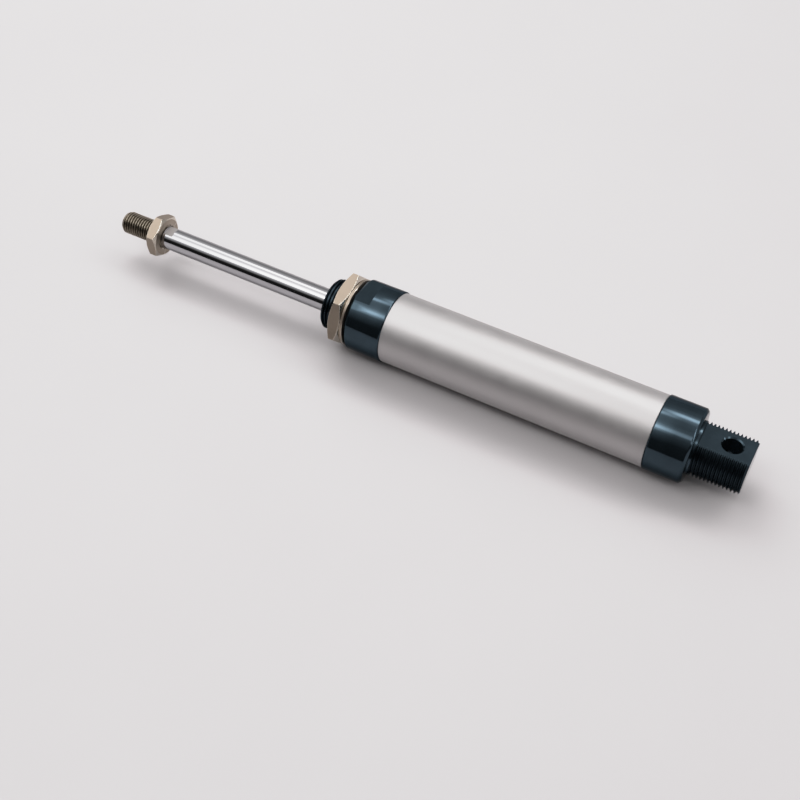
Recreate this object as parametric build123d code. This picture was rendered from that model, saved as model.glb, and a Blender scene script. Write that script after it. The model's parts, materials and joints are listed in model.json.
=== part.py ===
from build123d import *

import math
import os

# Round-bodied double-acting pneumatic cylinder, 25 mm bore and 75 mm stroke, drawn with its rod
# fully extended. Millimetres. The origin is the centre of the pivot hole in the rear tang, +X runs
# along the cylinder's axis towards the rod end, and +Z is the axis of the pivot hole.

# Cylinder sizes
BORE_RADIUS = 12.5
STROKE = 75.0
BARREL_RADIUS = 15.0
CAP_RADIUS = 15.45
ROD_RADIUS = 5.0
END_GAP = 0.15
RUNNING_CLEARANCE = 0.05
SEAL_CLEARANCE = 0.08
SEAT_CLEARANCE = 0.02

# Places along the axis
TANG_END = -8.6
REAR_FACE = 12.8
REAR_JUNCTION = REAR_FACE + 15.9
FRONT_JUNCTION = REAR_JUNCTION + 114.6
SHOULDER = FRONT_JUNCTION + 16.4
NOSE_END = SHOULDER + 13.6
ROD_TIP = SHOULDER + 44.9 + STROKE

# Spigots that screw into the barrel's ends
SPIGOT_LENGTH = 8.5
SPIGOT_THREAD_RADIUS = 13.23
SPIGOT_THREAD_LENGTH = 5.0
SPIGOT_LAND_RADIUS = 12.4
CAP_RING_GROOVE_START = 5.9
CAP_RING_GROOVE_WIDTH = 2.0
CAP_RING_GROOVE_RADIUS = 11.1

# Barrel ends
BARREL_END_CHAMFER = 0.2

# Caps
CAP_EDGE_CHAMFER = 1.0
JUNCTION_CHAMFER = 0.4
SCREW_RADIUS = 11.0
TANG_HALF_WIDTH = 8.0
TANG_NECK = 1.0
TANG_END_CHAMFER = 0.8
PIVOT_RADIUS = 4.0
PIVOT_CHAMFER = 0.5
NOSE_END_CHAMFER = 1.0
RELIEF_RADIUS = 9.9
RELIEF_LENGTH = 1.5
CAP_FLAT_HALF_WIDTH = 13.6
CAP_FLAT_LENGTH = 7.8

# G1/8 ports, on the side away from +Y
PORT_RADIUS = 4.283
PORT_MOUTH_RADIUS = 4.9
PORT_SPOT_RADIUS = 6.6
PORT_SPOT_DEPTH = 1.25
REAR_PORT_X = REAR_FACE + 8.2
FRONT_PORT_X = FRONT_JUNCTION + 8.5
REAR_PORT_BOTTOM = 2.0
FRONT_PORT_BOTTOM = 8.5
REAR_PASSAGE_RADIUS = 3.0
FRONT_PASSAGE_RADIUS = 1.25
FRONT_PASSAGE_OFFSET = 9.0

# Rod guide and seals in the front cap
BUSH_RADIUS = 6.5
BUSH_LENGTH = 20.0
ROD_PASSAGE_RADIUS = 5.4
SEAL_SEAT_RADIUS = 8.0
SEAL_SEAT_DEPTH = 10.0
ROD_SEAL_LENGTH = 4.0
SEAL_WASHER_LENGTH = 1.0
WIPER_LENGTH = 3.2
RETAINING_RING_LENGTH = 1.0
RETAINING_RING_RADIUS = 8.6
RETAINING_RING_BORE = 6.9

# Piston
PISTON_LENGTH = 19.0
PISTON_RADIUS = 12.3
PISTON_HALF_LENGTH = 8.0
HUB_RADIUS = 8.0
HUB_LENGTH = 4.0
MAGNET_RADIUS = 11.8
SEAL_GROOVE_RADIUS = 9.0
SEAL_GROOVE_WIDTH = 3.2
SEAL_LAND = 1.8
STUD_RADIUS = 3.0
BUMPER_LENGTH = 1.5
FRONT_BUMPER_RADIUS = 7.6
REAR_BUMPER_RADII = (6.9, 10.0)
NUT_RECESS_RADIUS = 6.6
NUT_RECESS_DEPTH = 5.3
PISTON_NUT_WIDTH = 10.0
PISTON_NUT_LENGTH = 4.0
PISTON_WASHER_LENGTH = 1.0
PISTON_WASHER_RADIUS = 5.9
STUD_RING_GROOVE_RADIUS = 4.2
STUD_RING_GROOVE_WIDTH = 1.7

# Rod end
ROD_FLAT_HALF_WIDTH = 4.0
ROD_FLAT_LENGTH = 5.0
ROD_THREAD_LENGTH = 21.6
ROD_TIP_CHAMFER = 1.2

# Nuts, and the stretch of outside thread engaged in each, drawn smaller than its free end
ENGAGED_ALLOWANCE = 0.2
ENGAGED_OVERRUN = 0.3
FRONT_NUT_WIDTH = 29.0
FRONT_NUT_START = SHOULDER + 1.0
FRONT_NUT_COLLAR_LENGTH = 1.2
FRONT_NUT_COLLAR_RADIUS = 14.5
FRONT_NUT_HEX_LENGTH = 5.8
FRONT_NUT_TURN = 45.0
ROD_NUT_WIDTH = 17.0
ROD_NUT_LENGTH = 5.0
ROD_NUT_TURN = 23.5
ROD_NUT_START = ROD_TIP - ROD_THREAD_LENGTH + 0.2
NUT_CHAMFER_ANGLE = 30.0
NUT_COUNTERSINK = 0.6

PISTON_FRONT = FRONT_JUNCTION - SPIGOT_LENGTH - END_GAP - BUMPER_LENGTH
PISTON_REAR = PISTON_FRONT - PISTON_LENGTH
FAR = 400.0


def lathe(points):
    """Turn a closed outline of (x, radius) points about the X axis."""
    outline = Polyline(*[(x, radius, 0) for x, radius in points], close=True)
    return revolve(make_face(outline), Axis.X, 360)


def ring(start, end, inner, outer):
    """A plain tube between two places on the axis."""
    return lathe([(start, inner), (end, inner), (end, outer), (start, outer)])


def rod_between(start, end, radius):
    """A plain round bar on the axis."""
    return lathe([(start, 0), (end, 0), (end, radius), (start, radius)])


def o_ring(centre_x, inner, outer):
    """A round-section ring that fills the gap between two radii."""
    section = Plane.XY * Pos(centre_x, (inner + outer) / 2) * Circle((outer - inner) / 2)
    return revolve(section, Axis.X, 360)


def slabs(start, end, half_width):
    """Two slabs beyond +Z and -Z that mill a pair of flats when cut away."""
    length = end - start
    height = 2 * CAP_RADIUS
    upper = Pos((start + end) / 2, 0, half_width + height / 2) * Box(length, 2 * FAR, height)
    lower = Pos((start + end) / 2, 0, -half_width - height / 2) * Box(length, 2 * FAR, height)
    return upper + lower


def hexagon_bar(start, end, width, turn):
    """A hexagonal bar across the axis, with one corner turned from +Y towards +Z."""
    corner = width / math.sqrt(3)
    angles = [math.radians(turn + 60 * k) for k in range(6)]
    points = [(start, corner * math.cos(a), corner * math.sin(a)) for a in angles]
    face = make_face(Polyline(*points, close=True))
    return extrude(face, amount=end - start, dir=(1, 0, 0))


def hexagon_nut(start, end, width, turn, bore):
    """A hexagonal nut with its corners turned off at both ends and a countersunk bore."""
    corner = width / math.sqrt(3) + 0.1
    face_radius = 0.475 * width
    slope = math.tan(math.radians(NUT_CHAMFER_ANGLE))
    drop = (corner - face_radius) * slope
    sink = NUT_COUNTERSINK
    turned = lathe([
        (start, bore + sink), (start, face_radius), (start + drop, corner), (end - drop, corner),
        (end, face_radius), (end, bore + sink), (end - sink, bore), (start + sink, bore),
    ])
    return hexagon_bar(start, end, width, turn) & turned


def port_cutter(x, bottom):
    """A tapped port from -Y with its spot face and mouth chamfer, as one cutter."""
    spot = CAP_RADIUS - PORT_SPOT_DEPTH
    chamfer = PORT_MOUTH_RADIUS - PORT_RADIUS
    outline = Polyline(
        (0, bottom, 0), (PORT_RADIUS, bottom, 0), (PORT_RADIUS, spot - chamfer, 0),
        (PORT_MOUTH_RADIUS, spot, 0), (PORT_SPOT_RADIUS, spot, 0),
        (PORT_SPOT_RADIUS, 2 * CAP_RADIUS, 0), (0, 2 * CAP_RADIUS, 0), close=True)
    upright = revolve(make_face(outline), Axis.Y, 360)
    return Pos(x, 0, 0) * Rot(180, 0, 0) * upright


def spigot_outline(face, direction):
    """The spigot's outline from the cap's junction face inwards to its end on the axis side."""
    groove_start = CAP_RING_GROOVE_START
    groove_end = groove_start + CAP_RING_GROOVE_WIDTH
    steps = [
        (0, SPIGOT_THREAD_RADIUS), (SPIGOT_THREAD_LENGTH, SPIGOT_THREAD_RADIUS),
        (SPIGOT_THREAD_LENGTH, SPIGOT_LAND_RADIUS), (groove_start, SPIGOT_LAND_RADIUS),
        (groove_start, CAP_RING_GROOVE_RADIUS), (groove_end, CAP_RING_GROOVE_RADIUS),
        (groove_end, SPIGOT_LAND_RADIUS), (SPIGOT_LENGTH, SPIGOT_LAND_RADIUS),
    ]
    return [(face + direction * along, radius) for along, radius in steps]


def barrel_tube():
    """The drawn tube, counterbored and tapped at both ends for the caps."""
    tapped = SPIGOT_THREAD_RADIUS + SEAT_CLEARANCE
    start = REAR_JUNCTION
    end = FRONT_JUNCTION
    depth = SPIGOT_THREAD_LENGTH + END_GAP
    edge = BARREL_RADIUS - BARREL_END_CHAMFER
    return lathe([
        (start, tapped), (start + depth, tapped), (start + depth, BORE_RADIUS),
        (end - depth, BORE_RADIUS), (end - depth, tapped), (end, tapped),
        (end, edge), (end - BARREL_END_CHAMFER, BARREL_RADIUS),
        (start + BARREL_END_CHAMFER, BARREL_RADIUS), (start, edge),
    ])


def rear_cap():
    """The rear cap: spigot, round body, and the flat-sided tang with the pivot hole."""
    tang_tip = SCREW_RADIUS - TANG_END_CHAMFER
    outline = [
        (TANG_END, 0), (TANG_END, tang_tip), (TANG_END + TANG_END_CHAMFER, SCREW_RADIUS),
        (REAR_FACE, SCREW_RADIUS), (REAR_FACE, CAP_RADIUS - CAP_EDGE_CHAMFER),
        (REAR_FACE + CAP_EDGE_CHAMFER, CAP_RADIUS),
        (REAR_JUNCTION - JUNCTION_CHAMFER, CAP_RADIUS),
        (REAR_JUNCTION, CAP_RADIUS - JUNCTION_CHAMFER),
    ]
    outline += spigot_outline(REAR_JUNCTION, 1)
    outline.append((REAR_JUNCTION + SPIGOT_LENGTH, 0))
    cap = lathe(outline)
    cap -= slabs(TANG_END - 1, REAR_FACE - TANG_NECK, TANG_HALF_WIDTH)
    cap -= rod_between(REAR_PORT_X - REAR_PASSAGE_RADIUS, REAR_JUNCTION + SPIGOT_LENGTH + 1,
                       REAR_PASSAGE_RADIUS)
    cap -= port_cutter(REAR_PORT_X, REAR_PORT_BOTTOM)
    return cap - pivot_cutter()


def pivot_cutter():
    """The pivot hole with a chamfer at each flat."""
    wide = PIVOT_RADIUS + PIVOT_CHAMFER
    flat = TANG_HALF_WIDTH
    outline = Polyline(
        (0, 0, -flat - 1), (wide, 0, -flat - 1), (wide, 0, -flat),
        (PIVOT_RADIUS, 0, -flat + PIVOT_CHAMFER), (PIVOT_RADIUS, 0, flat - PIVOT_CHAMFER),
        (wide, 0, flat), (wide, 0, flat + 1), (0, 0, flat + 1), close=True)
    return revolve(make_face(outline), Axis.Z, 360)


def front_cap():
    """The front cap: spigot, round body with spanner flats, and the threaded nose."""
    spigot_end = FRONT_JUNCTION - SPIGOT_LENGTH
    seat = NOSE_END - SEAL_SEAT_DEPTH
    ring_end = NOSE_END - 0.8
    ring_start = ring_end - RETAINING_RING_LENGTH - 0.1
    groove = RETAINING_RING_RADIUS + RUNNING_CLEARANCE
    engaged = SCREW_RADIUS - ENGAGED_ALLOWANCE
    free_thread = FRONT_NUT_START + FRONT_NUT_COLLAR_LENGTH + FRONT_NUT_HEX_LENGTH
    free_thread += ENGAGED_OVERRUN
    outer = [
        (FRONT_JUNCTION, CAP_RADIUS - JUNCTION_CHAMFER),
        (FRONT_JUNCTION + JUNCTION_CHAMFER, CAP_RADIUS),
        (SHOULDER - CAP_EDGE_CHAMFER, CAP_RADIUS), (SHOULDER, CAP_RADIUS - CAP_EDGE_CHAMFER),
        (SHOULDER, RELIEF_RADIUS), (SHOULDER + RELIEF_LENGTH, RELIEF_RADIUS),
        (SHOULDER + RELIEF_LENGTH, engaged), (free_thread, engaged), (free_thread, SCREW_RADIUS),
        (NOSE_END - NOSE_END_CHAMFER, SCREW_RADIUS), (NOSE_END, SCREW_RADIUS - NOSE_END_CHAMFER),
    ]
    inner = [
        (NOSE_END, SEAL_SEAT_RADIUS), (ring_end, SEAL_SEAT_RADIUS), (ring_end, groove),
        (ring_start, groove), (ring_start, SEAL_SEAT_RADIUS), (seat, SEAL_SEAT_RADIUS),
        (seat, ROD_PASSAGE_RADIUS), (spigot_end + BUSH_LENGTH, ROD_PASSAGE_RADIUS),
        (spigot_end + BUSH_LENGTH, BUSH_RADIUS), (spigot_end, BUSH_RADIUS),
    ]
    spigot = list(reversed(spigot_outline(FRONT_JUNCTION, -1)))
    cap = lathe(inner + spigot + outer)
    cap -= slabs(SHOULDER - CAP_FLAT_LENGTH, SHOULDER + 0.01, CAP_FLAT_HALF_WIDTH)
    cap -= port_cutter(FRONT_PORT_X, FRONT_PORT_BOTTOM)
    passage = rod_between(spigot_end - 1, FRONT_PORT_X, FRONT_PASSAGE_RADIUS)
    return cap - Pos(0, -FRONT_PASSAGE_OFFSET, 0) * passage


def cap_o_ring(face, direction):
    """The static ring between a cap's spigot and the barrel."""
    centre = face + direction * (CAP_RING_GROOVE_START + CAP_RING_GROOVE_WIDTH / 2)
    return o_ring(centre, CAP_RING_GROOVE_RADIUS, BORE_RADIUS)


def front_mounting_nut():
    """The thin nut on the nose, with a turned washer face on its barrel side."""
    bore = SCREW_RADIUS + RUNNING_CLEARANCE
    start = FRONT_NUT_START + FRONT_NUT_COLLAR_LENGTH
    nut = hexagon_nut(start, start + FRONT_NUT_HEX_LENGTH, FRONT_NUT_WIDTH, FRONT_NUT_TURN, bore)
    return nut + ring(FRONT_NUT_START, start + NUT_COUNTERSINK, bore, FRONT_NUT_COLLAR_RADIUS)


def rod_nut():
    """The lock nut on the rod's thread."""
    bore = ROD_RADIUS + RUNNING_CLEARANCE
    end = ROD_NUT_START + ROD_NUT_LENGTH
    return hexagon_nut(ROD_NUT_START, end, ROD_NUT_WIDTH, ROD_NUT_TURN, bore)


def piston_rod():
    """The rod: stud for the piston, chromed bar, spanner flats and the threaded end."""
    stud_end = PISTON_REAR + END_GAP
    tip = ROD_RADIUS - ROD_TIP_CHAMFER
    engaged = ROD_RADIUS - ENGAGED_ALLOWANCE
    flats_end = ROD_TIP - ROD_THREAD_LENGTH
    free_thread = ROD_NUT_START + ROD_NUT_LENGTH + ENGAGED_OVERRUN
    rod = lathe([
        (stud_end, 0), (stud_end, STUD_RADIUS - 0.4), (stud_end + 0.4, STUD_RADIUS),
        (PISTON_FRONT, STUD_RADIUS), (PISTON_FRONT, ROD_RADIUS),
        (flats_end, ROD_RADIUS), (flats_end, engaged), (free_thread, engaged),
        (free_thread, ROD_RADIUS), (ROD_TIP - ROD_TIP_CHAMFER, ROD_RADIUS), (ROD_TIP, tip),
        (ROD_TIP, 0),
    ])
    return rod - slabs(flats_end - ROD_FLAT_LENGTH, flats_end, ROD_FLAT_HALF_WIDTH)


def seal_groove(flank, direction):
    """Outline steps of a piston-seal groove, starting one land in from a flank."""
    start = flank + direction * SEAL_LAND
    end = start + direction * SEAL_GROOVE_WIDTH
    return [
        (start, PISTON_RADIUS), (start, SEAL_GROOVE_RADIUS), (end, SEAL_GROOVE_RADIUS),
        (end, PISTON_RADIUS),
    ]


def piston_front_half():
    """The front half of the piston, with its seal groove and the stud ring's groove."""
    back = PISTON_FRONT - PISTON_HALF_LENGTH
    bore = STUD_RADIUS + SEAT_CLEARANCE
    ring_end = PISTON_FRONT - PISTON_HALF_LENGTH / 2
    ring_start = ring_end - STUD_RING_GROOVE_WIDTH
    outer = [(PISTON_FRONT, bore), (PISTON_FRONT, PISTON_RADIUS)]
    outer += seal_groove(PISTON_FRONT, -1)
    inner = [
        (back, PISTON_RADIUS), (back, bore), (ring_start, bore),
        (ring_start, STUD_RING_GROOVE_RADIUS), (ring_end, STUD_RING_GROOVE_RADIUS),
        (ring_end, bore),
    ]
    return lathe(outer + inner)


def piston_rear_half():
    """The rear half: seal groove, recess for the nut, and the hub that carries the magnet."""
    flange = PISTON_FRONT - PISTON_HALF_LENGTH - HUB_LENGTH
    bore = STUD_RADIUS + SEAT_CLEARANCE
    recess = PISTON_REAR + NUT_RECESS_DEPTH
    outer = [(PISTON_REAR, NUT_RECESS_RADIUS), (PISTON_REAR, PISTON_RADIUS)]
    outer += seal_groove(PISTON_REAR, 1)
    inner = [
        (flange, PISTON_RADIUS), (flange, HUB_RADIUS), (flange + HUB_LENGTH, HUB_RADIUS),
        (flange + HUB_LENGTH, bore), (recess, bore), (recess, NUT_RECESS_RADIUS),
    ]
    return lathe(outer + inner)


def piston_magnet():
    """The ring magnet that the position sensors read."""
    end = PISTON_FRONT - PISTON_HALF_LENGTH
    return ring(end - HUB_LENGTH, end, HUB_RADIUS + SEAT_CLEARANCE, MAGNET_RADIUS)


def piston_wear_ring():
    """The split guide band round the magnet; its gap is on the port side."""
    end = PISTON_FRONT - PISTON_HALF_LENGTH - 2 * SEAT_CLEARANCE
    start = end - HUB_LENGTH + 4 * SEAT_CLEARANCE
    band = ring(start, end, MAGNET_RADIUS + SEAL_CLEARANCE, BORE_RADIUS - SEAL_CLEARANCE)
    return band - Pos((start + end) / 2, -MAGNET_RADIUS, 0) * Rot(0, 30, 0) * Box(9, 3, 0.8)


def lip_seal(start, end, inner, outer, lip_depth):
    """A U-cup seal whose open side faces its end; the end may lie on either side of its start."""
    middle = (inner + outer) / 2
    valley = (outer - inner) * 0.16
    root = end - math.copysign(lip_depth, end - start)
    lean = (outer - inner) * 0.08
    return lathe([
        (start, inner + lean), (start, outer - lean), (end, outer), (end, outer - 2 * lean),
        (root, middle + valley), (root, middle - valley), (end, inner + 2 * lean), (end, inner),
    ])


def piston_seal(flank, direction):
    """A piston U-cup in its groove, open towards the pressure side."""
    open_side = flank + direction * (SEAL_LAND + 0.1)
    closed_side = flank + direction * (SEAL_LAND + SEAL_GROOVE_WIDTH - 0.1)
    inner = SEAL_GROOVE_RADIUS + SEAL_CLEARANCE
    return lip_seal(closed_side, open_side, inner, BORE_RADIUS - SEAL_CLEARANCE, 1.6)


def piston_o_ring():
    """The static ring between the rod's stud and the piston."""
    centre = PISTON_FRONT - PISTON_HALF_LENGTH / 2 - STUD_RING_GROOVE_WIDTH / 2
    return o_ring(centre, STUD_RADIUS, STUD_RING_GROOVE_RADIUS)


def piston_nut_washer():
    """The plain washer under the piston nut."""
    end = PISTON_REAR + NUT_RECESS_DEPTH
    return ring(end - PISTON_WASHER_LENGTH, end, STUD_RADIUS + 0.2, PISTON_WASHER_RADIUS)


def piston_nut():
    """The nut that clamps both piston halves on the stud."""
    end = PISTON_REAR + NUT_RECESS_DEPTH - PISTON_WASHER_LENGTH
    start = end - PISTON_NUT_LENGTH
    return hexagon_nut(start, end, PISTON_NUT_WIDTH, 0, STUD_RADIUS + SEAT_CLEARANCE)


def piston_bumpers():
    """The soft stops on both faces of the piston, front and rear."""
    front = ring(PISTON_FRONT, PISTON_FRONT + BUMPER_LENGTH, ROD_RADIUS + RUNNING_CLEARANCE,
                 FRONT_BUMPER_RADIUS)
    inner, outer = REAR_BUMPER_RADII
    rear = ring(PISTON_REAR - BUMPER_LENGTH, PISTON_REAR, inner, outer)
    return front, rear


def rod_bush():
    """The plain bearing that guides the rod, pressed into the cap from the bore side."""
    start = FRONT_JUNCTION - SPIGOT_LENGTH
    return ring(start, start + BUSH_LENGTH, ROD_RADIUS + RUNNING_CLEARANCE,
                BUSH_RADIUS - SEAT_CLEARANCE)


def rod_seal_stack():
    """What fills the nose round the rod: U-cup, washer, wiper and retaining ring, in order."""
    outer = SEAL_SEAT_RADIUS - SEAT_CLEARANCE
    inner = ROD_RADIUS + RUNNING_CLEARANCE
    seal_start = NOSE_END - SEAL_SEAT_DEPTH
    washer_start = seal_start + ROD_SEAL_LENGTH
    wiper_start = washer_start + SEAL_WASHER_LENGTH
    wiper_end = wiper_start + WIPER_LENGTH
    seal = lip_seal(washer_start, seal_start, inner, outer, 2.2)
    washer = ring(washer_start, wiper_start, inner + 0.4, outer)
    wiper = lathe([
        (wiper_start, inner + 0.9), (wiper_start, outer), (wiper_end - 0.2, outer),
        (wiper_end - 0.2, outer - 1.0), (wiper_end, inner + 0.3), (wiper_end, inner),
        (wiper_end - 0.8, inner), (wiper_end - 2.0, inner + 0.9),
    ])
    return seal, washer, wiper


def wiper_retaining_ring():
    """The internal circlip in the nose, with its gap and two lug holes on the port side."""
    end = NOSE_END - 0.85
    start = end - RETAINING_RING_LENGTH
    clip = ring(start, end, RETAINING_RING_BORE, RETAINING_RING_RADIUS)
    lug_place = RETAINING_RING_BORE - 0.2
    middle = (start + end) / 2
    for side in (1, -1):
        lug = Cylinder(1.1, RETAINING_RING_LENGTH, rotation=(0, 90, 0))
        clip += Pos(middle, -lug_place, side * 1.9) * lug
    clip -= Pos(middle, -RETAINING_RING_RADIUS, 0) * Box(2, 4, 1.6)
    for side in (1, -1):
        hole = Cylinder(0.5, 2 * RETAINING_RING_LENGTH, rotation=(0, 90, 0))
        clip -= Pos(middle, -lug_place, side * 1.9) * hole
    return clip


def build_all():
    """Every piece of the cylinder by node name."""
    front_bumper, rear_bumper = piston_bumpers()
    seal, washer, wiper = rod_seal_stack()
    return {
        "barrel_tube": barrel_tube(),
        "rear_cap": rear_cap(),
        "front_cap": front_cap(),
        "rear_cap_o_ring": cap_o_ring(REAR_JUNCTION, 1),
        "front_cap_o_ring": cap_o_ring(FRONT_JUNCTION, -1),
        "front_mounting_nut": front_mounting_nut(),
        "rod_bush": rod_bush(),
        "rod_seal": seal,
        "rod_seal_washer": washer,
        "rod_wiper": wiper,
        "wiper_retaining_ring": wiper_retaining_ring(),
        "piston_rod": piston_rod(),
        "rod_nut": rod_nut(),
        "piston_front_half": piston_front_half(),
        "piston_rear_half": piston_rear_half(),
        "piston_magnet": piston_magnet(),
        "piston_wear_ring": piston_wear_ring(),
        "piston_seal_front": piston_seal(PISTON_FRONT, -1),
        "piston_seal_rear": piston_seal(PISTON_REAR, 1),
        "piston_o_ring": piston_o_ring(),
        "piston_nut": piston_nut(),
        "piston_nut_washer": piston_nut_washer(),
        "piston_bumper_front": front_bumper,
        "piston_bumper_rear": rear_bumper,
    }


os.makedirs("parts", exist_ok=True)
for node, shape in build_all().items():
    export_step(shape, f"parts/{node}.step")
    print(node, round(shape.volume, 2))
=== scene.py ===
import json
import math

import bmesh
import bpy
import numpy as np
from mathutils import Matrix, Vector


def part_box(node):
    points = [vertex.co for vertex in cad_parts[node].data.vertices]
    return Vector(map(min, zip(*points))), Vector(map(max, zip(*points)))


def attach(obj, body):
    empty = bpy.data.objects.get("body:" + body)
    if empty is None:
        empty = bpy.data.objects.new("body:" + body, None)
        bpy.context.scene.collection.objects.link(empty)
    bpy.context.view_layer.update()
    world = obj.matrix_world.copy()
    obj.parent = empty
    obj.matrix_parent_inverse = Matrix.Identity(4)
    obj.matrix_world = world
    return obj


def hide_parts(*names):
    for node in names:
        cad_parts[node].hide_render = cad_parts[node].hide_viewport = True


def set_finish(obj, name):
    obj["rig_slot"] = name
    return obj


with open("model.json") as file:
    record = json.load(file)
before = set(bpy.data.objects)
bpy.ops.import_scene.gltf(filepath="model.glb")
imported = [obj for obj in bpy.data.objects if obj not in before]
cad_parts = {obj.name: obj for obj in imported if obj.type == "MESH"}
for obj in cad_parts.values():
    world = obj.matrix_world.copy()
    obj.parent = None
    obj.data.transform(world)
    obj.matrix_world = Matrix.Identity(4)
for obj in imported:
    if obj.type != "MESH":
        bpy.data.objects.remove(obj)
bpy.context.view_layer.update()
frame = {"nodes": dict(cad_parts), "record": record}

# Round-bodied pneumatic cylinder. Outlines below are in millimetres along the cylinder's axis (x)
# and out from it (radius), and the places along the axis are read from the frame.
MM = 0.001
TURN = 2 * math.pi
SEGMENTS = 192
HALF_SEGMENT = TURN / SEGMENTS / 2
CUTTER_COLUMNS = 97
WELD = 2e-6
SHARP_ANGLE = math.radians(18)

ROOT_BODY = "cylinder_body"
ROD_BODY = "rod_assembly"


def along(node, end):
    """The lowest (end 0) or highest (end 1) x of a CAD node, in millimetres."""
    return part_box(node)[end].x / MM


REAR_CAP_LENGTH = 15.9
NOSE_LENGTH = 13.6
REAR_JUNCTION = along("barrel_tube", 0)
FRONT_JUNCTION = along("barrel_tube", 1)
TANG_END = along("rear_cap", 0)
REAR_SPIGOT = along("rear_cap", 1)
FRONT_SPIGOT = along("front_cap", 0)
NOSE_END = along("front_cap", 1)
ROD_TIP = along("piston_rod", 1)
STUD_END = along("piston_rod", 0)
REAR_FACE = REAR_JUNCTION - REAR_CAP_LENGTH
SHOULDER = NOSE_END - NOSE_LENGTH

# How far a thread's end is kept off the ring next to it, and how far a cutter reaches past its cut
THREAD_GAP = 0.01
OVERCUT = 1.0
# How much a corner of an outline is rounded, and the share of a short edge that this may take
EDGE_SOFTNESS = 0.12
ROUNDED_SHARE = 0.4

# Barrel, with a tapped socket in each end
BARREL_RADIUS = 15.0
BARREL_EDGE = 0.2
BARREL_SOFTNESS = 0.06
BORE_RADIUS = 12.5
SOCKET_RADIUS = 13.25
SOCKET_DEPTH = 5.15

# Spigots of the caps, as (distance in from the junction, radius): screwed part, land, groove, land
SPIGOT_RADIUS = 13.2
SPIGOT_STEPS = [
    (0, SPIGOT_RADIUS), (5.0, SPIGOT_RADIUS), (5.0, 12.4), (5.9, 12.4), (5.9, 11.1), (7.9, 11.1),
    (7.9, 12.4), (8.5, 12.4),
]

# What the two caps share
CAP_RADIUS = 15.45
CAP_EDGE = 1.0
CAP_BACK_EDGE = 0.4
SCREW_RADIUS = 11.0
SCREW_PITCH = 1.5

# Rear cap's tang and pivot hole
TANG_HALF_WIDTH = 8.0
TANG_NECK = 1.0
TANG_NECK_RADIUS = 10.0
TANG_TIP_DROP = 0.9
TANG_RUNOUT = 0.2
TANG_CHAMFER = 0.8
PIVOT_RADIUS = 4.0
PIVOT_CHAMFER = 0.5

# Front cap's spanner flats and nose, with the seal's seat and the retaining ring's groove
CAP_FLAT_HALF_WIDTH = 13.6
CAP_FLAT_LENGTH = 7.8
CAP_FLAT_OVERRUN = 0.05
NOSE_NECK = 1.5
NOSE_NECK_RADIUS = 9.9
NOSE_CHAMFERS = (0.9, 1.0)
NOSE_TIP_DROP = 1.1
NOSE_MOUTH_CHAMFER = 0.3
SEAT_RADIUS = 8.0
SEAT_DEPTH = 10.0
RING_GROOVE_RADIUS = 8.65
RING_GROOVE_DEPTH = 0.8
RING_GROOVE_WIDTH = 1.1
ROD_HOLE_RADIUS = 5.4
BUSH_BORE_RADIUS = 6.5
BUSH_BORE_LENGTH = 20

# Tapped ports; a bottom is the distance of the drilled end from the axis
PORT_MINOR = 4.283
PORT_PITCH = 0.907
PORT_THREAD_DEPTH = 0.58
PORT_THREAD_CHAMFER = 0.5
PORT_RUNOUT = 0.6
PORT_CHAMFER = 0.617
PORT_MOUTH_RADIUS = 5.2
PORT_SPOT_RADIUS = 6.6
PORT_SPOT_DEPTH = 1.25
REAR_PORT_PLACE = 8.2
REAR_PORT_BOTTOM = 2.0
REAR_AIRWAY_RADIUS = 3.0
FRONT_PORT_PLACE = 8.5
FRONT_PORT_BOTTOM = 8.5
FRONT_AIRWAY_RADIUS = 1.25
FRONT_AIRWAY_OFFSET = 9.0

# Piston rod
ROD_RADIUS = 5.0
ROD_PITCH = 1.25
ROD_THREAD_LENGTH = 21.6
ROD_THREAD_CHAMFERS = (0.5, 1.2)
ROD_TIP_RADIUS = 3.4
ROD_NECK_RADIUS = 4.6
ROD_NECK_LENGTH = 0.4
ROD_FLAT_HALF_WIDTH = 4.0
ROD_FLATS = (5.0, 0.5)
STUD_LENGTH = 18.85
STUD_RADIUS = 3.0
STUD_EDGE = 0.4

# Nuts: width across flats, turn in degrees, and the front nut's turned ring as (length, radius)
FRONT_NUT_WIDTH = 29.0
FRONT_NUT_TURN = 45.0
FRONT_NUT_COLLAR = (1.2, 14.5)
ROD_NUT_WIDTH = 17.0
ROD_NUT_TURN = 23.5
NUT_CLEARANCE = 0.05
NUT_SINK = 0.6
NUT_COLUMNS = 6 * 48 + 1
NUT_SOFTNESS = 0.05
COLLAR_SOFTNESS = 0.15
COLLAR_SEAT_SHARE = 0.47
HEX_FACE_SHARE = 0.478
HEX_CORNER_SLOPE = math.tan(math.radians(30))
HEX_CORNER_DEPTH = 2.4
HEX_CORNER_RINGS = 28
HEX_CORNER_CROWDING = 1.5
LEAST_FACING = 0.3
FAR_OUT = 99.0

# Screw profile in shares of the pitch: its depth, and where the crest ends, the root starts and the
# root ends; and how many turns before its start a helix is begun
THREAD_DEPTH = 0.6134
CREST_END = 0.125
ROOT_START = 0.4375
ROOT_END = 0.6875
HELIX_LEAD = 0.7
CHAMFER_FLOOR = 0.2


# ---------------------------------------------------------------- mesh building

def new_object(name, mesh):
    """Put a mesh in the scene as an object."""
    obj = bpy.data.objects.new(name, mesh)
    bpy.context.scene.collection.objects.link(obj)
    return obj


def shade(obj):
    """Smooth every face and mark the hard edges."""
    mesh = obj.data
    mesh.polygons.foreach_set("use_smooth", [True] * len(mesh.polygons))
    mesh.set_sharp_from_angle(angle=SHARP_ANGLE)
    mesh.update()


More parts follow.
